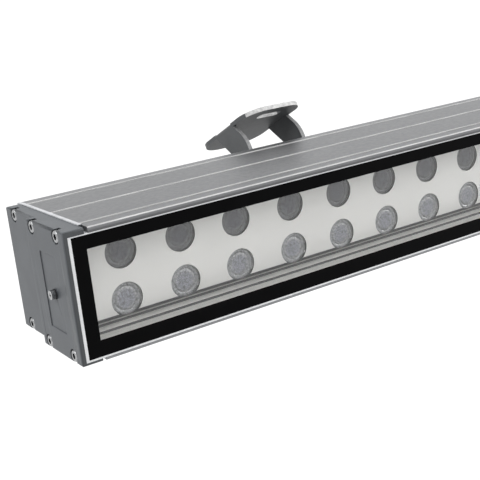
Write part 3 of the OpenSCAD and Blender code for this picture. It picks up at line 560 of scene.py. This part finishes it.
bpy.ops.object.select_all(action="DESELECT")
bpy.ops.mesh.primitive_cylinder_add(vertices=lens_sides, radius=lens_radius, depth=lens_depth,
                                    location=(0, lens_depth / 2, 0),
                                    rotation=(math.radians(90), 0, 0))
lens = bpy.context.object
settle(lens)
select_faces(lens, lambda face: face.normal.y > 0.9)
bpy.ops.transform.resize(value=(lens_back_share, 1.0, lens_back_share))
select_faces(lens, lambda face: face.normal.y < -0.9)
bpy.ops.transform.translate(value=(0, rim_drop_share * lens_radius, 0))
for width, push in lens_steps:
    bpy.ops.mesh.inset(thickness=width * lens_radius)
    bpy.ops.transform.translate(value=(0, push * lens_radius, 0))
bpy.ops.object.mode_set(mode="OBJECT")
bpy.ops.object.shade_smooth_by_angle(angle=math.radians(35))
reach = lens.data.attributes.new("reach", "FLOAT", "POINT")
for point, vertex in zip(reach.data, lens.data.vertices):
    point.value = math.hypot(vertex.co.x, vertex.co.z) / lens_radius


def milky_plastic(name, light, gloss):
    """The lenses' plastic: its tones are scaled by light, a painted light level for its row, and
    gloss is its clear skin's.
    """
    tones = [(place, tuple(light * part for part in tone) + (1.0,)) for place, tone in lens_tones]
    finish = new_finish(name, tones[0][1], 0.30)
    tree = finish.node_tree
    reach_share = tree.nodes.new("ShaderNodeAttribute")
    reach_share.attribute_name = "reach"
    ramp = blend_colours(finish, reach_share.outputs["Fac"], tones[0][1], tones[-1][1],
                         tones[0][0], tones[-1][0])
    for place, tone in tones[1:-1]:
        ramp.color_ramp.elements.new(place).color = tone
    beads = tree.nodes.new("ShaderNodeTexVoronoi")
    beads.inputs["Scale"].default_value = beads_to_metre
    tree.links.new(coordinates(finish), beads.inputs["Vector"])
    bead_painted_sparkle = tree.nodes.new("ShaderNodeMapRange")
    bead_painted_sparkle.inputs["To Min"].default_value = bead_painted_highlight
    bead_painted_sparkle.inputs["To Max"].default_value = bead_painted_shade
    tree.links.new(beads.outputs["Distance"], bead_painted_sparkle.inputs["Value"])
    toned = tree.nodes.new("ShaderNodeVectorMath")
    toned.operation = "SCALE"
    tree.links.new(ramp.outputs["Color"], toned.inputs["Vector"])
    tree.links.new(bead_painted_sparkle.outputs["Result"], toned.inputs["Scale"])
    tree.links.new(toned.outputs["Vector"], shader_of(finish).inputs["Base Color"])
    relief(finish, beads.outputs["Distance"], 0.0003, 0.8)
    shader_of(finish).inputs["Specular IOR Level"].default_value = 0.25
    shader_of(finish).inputs["Coat Weight"].default_value = gloss
    shader_of(finish).inputs["Coat Roughness"].default_value = 0.15
    shader_of(finish).inputs["Coat IOR"].default_value = 1.7
    return finish


for row, light, gloss in (("lenses_top", upper_row_painted_light, upper_gloss),
                          ("lenses_bottom", lower_row_painted_light, lower_gloss)):
    row_low, row_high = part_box(row)
    row_z = (row_low.z + row_high.z) / 2
    spots = [(x, lens_face_y, row_z) for x in middles(row, 0)]
    lens_row = copies_at(lens, "beaded_" + row, spots)
    lens_row.data.materials.append(milky_plastic("milky_" + row, light, gloss))
    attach(lens_row, "lamp")
    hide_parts(row)
drop(lens)


# Lens holders and link connectors: white nylon cups that stand on the boards, and the small
# white plugs that join one board to the next. Both are moulded and left unpainted.
nylon_white = (0.80, 0.80, 0.79, 1.0)
nylon_shade = (0.70, 0.70, 0.69, 1.0)

nylon = new_finish("white_nylon", nylon_white, 0.5)
blend_colours(nylon, noise(nylon, 240.0), nylon_shade, nylon_white)
relief(nylon, noise(nylon, 1800.0), 0.00003, 0.4)
dress(nylon, "lens_holders_top", "lens_holders_bottom", "board_links")


# LED boards: metal-core boards under white solder mask, screwed to the housing's inner wall.
# The LEDs on them are yellow phosphor squares under clear domes.
mask_white = (0.76, 0.77, 0.78, 1.0)
mask_shade = (0.66, 0.67, 0.68, 1.0)
phosphor_yellow = (0.80, 0.62, 0.14, 1.0)
phosphor_pale = (0.86, 0.72, 0.28, 1.0)

solder_mask = new_finish("white_solder_mask", mask_white, 0.35)
blend_colours(solder_mask, noise(solder_mask, 120.0), mask_shade, mask_white)
relief(solder_mask, noise(solder_mask, 1200.0), 0.00002, 0.4)
dress(solder_mask, "led_board_1", "led_board_2", "led_board_3", "led_board_4", "led_board_5")

phosphor = new_finish("yellow_phosphor", phosphor_yellow, 0.25)
blend_colours(phosphor, noise(phosphor, 1500.0), phosphor_yellow, phosphor_pale)
shader_of(phosphor).inputs["Coat Weight"].default_value = 0.6
dress(phosphor, "led_emitters")


# Small steel parts: reflector posts, screws, spacers, washers, nuts and bolts, all plain
# stainless steel, turned or pressed and left bright with fine tool marks.
steel_light = (0.66, 0.665, 0.67, 1.0)
steel_dark = (0.50, 0.505, 0.51, 1.0)

stainless = new_finish("stainless_steel", steel_light, 0.22, 1.0)
tool_marks = noise(stainless, 700.0)
blend_colours(stainless, tool_marks, steel_dark, steel_light)
blend_roughness(stainless, tool_marks, 0.16, 0.32)
relief(stainless, tool_marks, 0.00002, 0.4, 0.00025)
dress(stainless, "reflector_posts", "post_screws", "board_screws", "driver_spacers",
      "driver_screws")
for side in ("left", "right"):
    dress(stainless, "rail_nuts_" + side, "foot_screws_" + side, "pivot_bolt_" + side,
          "pivot_washers_" + side, "pivot_nut_" + side)


# Cap screws: six socket-head screws to a cap, turned from stainless bar. Each has a rounded
# shoulder, a flat ring and a deep hexagonal socket.
screw_light = (0.44, 0.445, 0.45, 1.0)
screw_dark = (0.26, 0.265, 0.27, 1.0)
screw_sides = 32
shank_share = 4 / 7
socket_share = 0.55
socket_depth_share = 0.55
shoulder_steps = (
    # inset of the next ring, and how far it is pushed out, as shares of the head radius
    (0.04, -0.10),
    (0.08, -0.06),
    (0.12, -0.02),
)

left_ys = middles("cap_screws_left", 1)
left_zs = middles("cap_screws_left", 2)
screw_points = [vertex.co for vertex in nodes["cap_screws_left"].data.vertices]
head_tops = [min(p.x for p in screw_points if abs(p.y - y) < 0.004) for y in left_ys]
screw_end = max(p.x for p in screw_points)
head_radius = max(p.y for p in screw_points) - left_ys[-1]
head_height = head_radius * 8 / 7
shoulder_rise = -sum(push for width, push in shoulder_steps) * head_radius

bpy.ops.object.select_all(action="DESELECT")
bpy.ops.mesh.primitive_cylinder_add(vertices=screw_sides, radius=head_radius,
                                    depth=head_height - shoulder_rise,
                                    location=((head_height + shoulder_rise) / 2, 0, 0),
                                    rotation=(0, math.radians(90), 0))
cap_screw = bpy.context.object
settle(cap_screw)
select_faces(cap_screw, lambda face: face.normal.x < -0.9)
for width, push in shoulder_steps:
    bpy.ops.mesh.inset(thickness=width * head_radius)
    bpy.ops.transform.translate(value=(push * head_radius, 0, 0))
select_faces(cap_screw, lambda face: face.normal.x > 0.9)
bpy.ops.mesh.inset(thickness=head_radius * (1 - shank_share))
bpy.ops.mesh.extrude_region_move(TRANSFORM_OT_translate={
    "value": (screw_end - head_tops[0] - head_height, 0, 0)})
bpy.ops.object.mode_set(mode="OBJECT")

bpy.ops.object.select_all(action="DESELECT")
bpy.ops.mesh.primitive_cylinder_add(vertices=6, radius=head_radius * socket_share,
                                    depth=2 * head_height * socket_depth_share,
                                    rotation=(0, math.radians(90), 0))
socket_cutter = bpy.context.object
settle(socket_cutter)
cut = cap_screw.modifiers.new("socket", "BOOLEAN")
cut.operation = "DIFFERENCE"
cut.object = socket_cutter
bpy.ops.object.select_all(action="DESELECT")
bpy.context.view_layer.objects.active = cap_screw
bpy.ops.object.modifier_apply(modifier="socket")
drop(socket_cutter)
cap_screw.select_set(True)
bpy.ops.object.shade_smooth_by_angle(angle=math.radians(40))
screw_steel = new_finish("screw_steel", screw_light, 0.22, 1.0)
blend_colours(screw_steel, noise(screw_steel, 700.0), screw_dark, screw_light)
blend_roughness(screw_steel, noise(screw_steel, 700.0), 0.16, 0.30)
relief(screw_steel, noise(screw_steel, 700.0), 0.00002, 0.4, 0.0002)
cap_screw.data.materials.append(screw_steel)

for side, turn in (("left", 1), ("right", -1)):
    spots = [(top, y, z) for y, top in zip(left_ys, head_tops) for z in left_zs]
    screws = copies_at(cap_screw, "socket_screws_" + side, spots)
    if turn < 0:
        screws.data.transform(Matrix.Rotation(math.pi, 4, "Z"))
        screws.data.transform(Matrix.Scale(-1, 4, (0, 1, 0)))
        screws.data.flip_normals()
    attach(screws, "lamp")
    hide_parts("cap_screws_" + side)
drop(cap_screw)


# Earth screw: a small steel pan-head screw with a cross recess, half way up the left cap, over
# a washer painted near black as painted shade. Both keep their turned shapes.
# Painted shade for the earth washer
washer_shade_black = (0.040, 0.041, 0.044, 1.0)
washer_shade_light = (0.075, 0.077, 0.082, 1.0)

washer_painted_shade = new_finish("shaded_washer_steel", washer_shade_light, 0.40, 0.7)
blend_colours(washer_painted_shade, noise(washer_painted_shade, 900.0), washer_shade_black, washer_shade_light)
relief(washer_painted_shade, noise(washer_painted_shade, 900.0), 0.00002, 0.4)
dress(screw_steel, "earth_screw")
dress(washer_painted_shade, "earth_washer")


# Brackets: steel plate, bent and powder coated dark grey. The cut edges are rounded by the
# coating, which is fine-grained and slightly glossy. The faces that look forward are painted
# lighter as a painted highlight: near white on the plate's front edge, grey on the arms.
coat_grey = (0.112, 0.117, 0.121, 1.0)
coat_dark = (0.090, 0.094, 0.098, 1.0)
# Painted highlight for the forward-facing faces: the plate's front edge, then the arms
edge_glint_light = (0.66, 0.66, 0.65, 1.0)
edge_glint_dull = (0.44, 0.44, 0.44, 1.0)
arm_sheen_light = (0.30, 0.302, 0.305, 1.0)
arm_sheen_dull = (0.20, 0.202, 0.205, 1.0)
bracket_edge = 0.0006
plate_height = 0.012

powder_coat = new_finish("grey_powder_coat", coat_grey, 0.55)
shader_of(powder_coat).inputs["Specular IOR Level"].default_value = 0.30
blend_colours(powder_coat, noise(powder_coat, 70.0), coat_dark, coat_grey)
relief(powder_coat, noise(powder_coat, 1700.0), 0.00006, 0.5)

front_edge_glint = new_finish("painted_front_edge_glint", edge_glint_light, 0.60, 0.4)
blend_colours(front_edge_glint, noise(front_edge_glint, 420.0), edge_glint_dull, edge_glint_light)
relief(front_edge_glint, noise(front_edge_glint, 1700.0), 0.00004, 0.5)

arm_edge_sheen = new_finish("painted_arm_edge_sheen", arm_sheen_light, 0.50, 0.2)
blend_colours(arm_edge_sheen, noise(arm_edge_sheen, 420.0), arm_sheen_dull, arm_sheen_light)
relief(arm_edge_sheen, noise(arm_edge_sheen, 1700.0), 0.00004, 0.5)

for side in ("left", "right"):
    plate_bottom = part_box("bracket_" + side)[1].z - plate_height
    bracket = merged_copy("bracket_" + side, "bent_bracket_" + side, powder_coat, front_edge_glint,
                          arm_edge_sheen)
    for face in bracket.data.polygons:
        if face.normal.y < -0.45:
            face.material_index = 1 if face.center.z > plate_bottom else 2
    round_edges(bracket, lambda first, last: True, bracket_edge, -1, clamp=True)
    smooth_shading(bracket, 40)
    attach(bracket, "bracket_" + side)
    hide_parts("bracket_" + side)


# Bracket feet: small castings in the same paint as the end caps, one behind each bracket.
dress(cast_paint, "foot_left", "foot_right")


# Cable gland: moulded in dark grey nylon, with black rubber for its washer and its seal.
gland_grey = (0.060, 0.062, 0.065, 1.0)
gland_worn = (0.085, 0.087, 0.090, 1.0)
rubber_black = (0.014, 0.014, 0.015, 1.0)
rubber_dusty = (0.026, 0.026, 0.027, 1.0)

grey_nylon = new_finish("grey_nylon", gland_grey, 0.45)
blend_colours(grey_nylon, noise(grey_nylon, 200.0), gland_grey, gland_worn)
relief(grey_nylon, noise(grey_nylon, 1600.0), 0.00005, 0.4, 0.0003)
dress(grey_nylon, "gland_body", "gland_locknut", "gland_nut")

black_rubber = new_finish("black_rubber", rubber_black, 0.7)
blend_colours(black_rubber, noise(black_rubber, 300.0), rubber_black, rubber_dusty)
relief(black_rubber, noise(black_rubber, 1200.0), 0.00005, 0.5)
dress(black_rubber, "gland_washer", "gland_seal")


# Driver: a green laminate board on spacers behind the inner wall. On it stand a taped
# transformer, black capacitors, a wound choke and a green terminal block.
laminate_green = (0.035, 0.140, 0.070, 1.0)
laminate_dark = (0.020, 0.095, 0.048, 1.0)
sleeve_black = (0.018, 0.018, 0.020, 1.0)
sleeve_grey = (0.034, 0.034, 0.038, 1.0)
winding_copper = (0.36, 0.17, 0.06, 1.0)
winding_dark = (0.20, 0.085, 0.03, 1.0)
lead_red = (0.42, 0.045, 0.035, 1.0)
lead_dark = (0.30, 0.030, 0.025, 1.0)

laminate = new_finish("green_laminate", laminate_green, 0.35)
blend_colours(laminate, noise(laminate, 160.0), laminate_dark, laminate_green)
dress(laminate, "driver_board", "driver_terminals")

sleeving = new_finish("black_sleeving", sleeve_black, 0.4)
blend_colours(sleeving, noise(sleeving, 260.0), sleeve_black, sleeve_grey)
dress(sleeving, "driver_transformer", "driver_capacitors")

winding = new_finish("copper_winding", winding_copper, 0.3, 0.6)
blend_colours(winding, noise(winding, 900.0), winding_dark, winding_copper)
dress(winding, "driver_choke")

insulation = new_finish("red_insulation", lead_red, 0.4)
blend_colours(insulation, noise(insulation, 400.0), lead_dark, lead_red)
dress(insulation, "led_feed_leads")


# Floor and light: a plain pale sweep some way under the lamp, a pale room all round, a soft
# lamp high on the left, a weaker one in front, and a small one far to the right that picks out
# the edges.
floor_drop = 0.30
floor_width = 80.0
floor_white = (0.36, 0.36, 0.36, 1.0)
floor_lift = 0.70
room_white = (1.0, 1.0, 1.0, 1.0)
room_light = 0.50
key_light = 1.4
key_spread = 32.0
key_from = (-0.62, 0.0, 0.78)
fill_light = 1.0
fill_spread = 60.0
fill_from = (0.20, -0.69, 0.69)
glint_light = 0.80
glint_spread = 24.0
glint_from = (0.86, -0.40, 0.32)

bpy.ops.object.select_all(action="DESELECT")
bpy.ops.mesh.primitive_plane_add(size=floor_width, location=(0, 0, -floor_drop))
floor = bpy.context.object
floor.name = "pale_floor"
floor_paint = new_finish("pale_floor", floor_white, 0.9)
floor_shader = shader_of(floor_paint)
floor_shader.inputs["Specular IOR Level"].default_value = 0.0
floor_shader.inputs["Emission Color"].default_value = room_white


def seen_directly(tree):
    """1 for what the camera sees, straight or in metal and glass, and 0 for light."""
    path = tree.nodes.new("ShaderNodeLightPath")
    share = path.outputs["Is Camera Ray"]
    for way in ("Is Glossy Ray", "Is Transmission Ray"):
        either = tree.nodes.new("ShaderNodeMath")
        either.operation = "MAXIMUM"
        tree.links.new(share, either.inputs[0])
        tree.links.new(path.outputs[way], either.inputs[1])
        share = either.outputs["Value"]
    return share


floor_tree = floor_paint.node_tree
lift = floor_tree.nodes.new("ShaderNodeMath")
lift.operation = "MULTIPLY"
lift.inputs[1].default_value = floor_lift
floor_tree.links.new(seen_directly(floor_tree), lift.inputs[0])
floor_tree.links.new(lift.outputs["Value"], floor_shader.inputs["Emission Strength"])
floor.data.materials.append(floor_paint)

room = bpy.data.worlds.new("pale_room")
bpy.context.scene.world = room
room.use_nodes = True
room_shader = room.node_tree.nodes["Background"]
room_shader.inputs["Color"].default_value = room_white
room_span = room.node_tree.nodes.new("ShaderNodeMapRange")
room_span.inputs["To Min"].default_value = room_light
room_span.inputs["To Max"].default_value = 1.0
room.node_tree.links.new(seen_directly(room.node_tree), room_span.inputs["Value"])
room.node_tree.links.new(room_span.outputs["Result"], room_shader.inputs["Strength"])

for name, light, spread, place in (("key_lamp", key_light, key_spread, key_from),
                                   ("fill_lamp", fill_light, fill_spread, fill_from),
                                   ("glint_lamp", glint_light, glint_spread, glint_from)):
    bpy.ops.object.select_all(action="DESELECT")
    turn = Vector(place).to_track_quat("Z", "Y").to_euler()
    bpy.ops.object.light_add(type="SUN", location=place, rotation=turn)
    lamp = bpy.context.object
    lamp.name = name
    lamp.data.energy = light
    lamp.data.angle = math.radians(spread)

bpy.context.scene.view_settings.view_transform = "Standard"
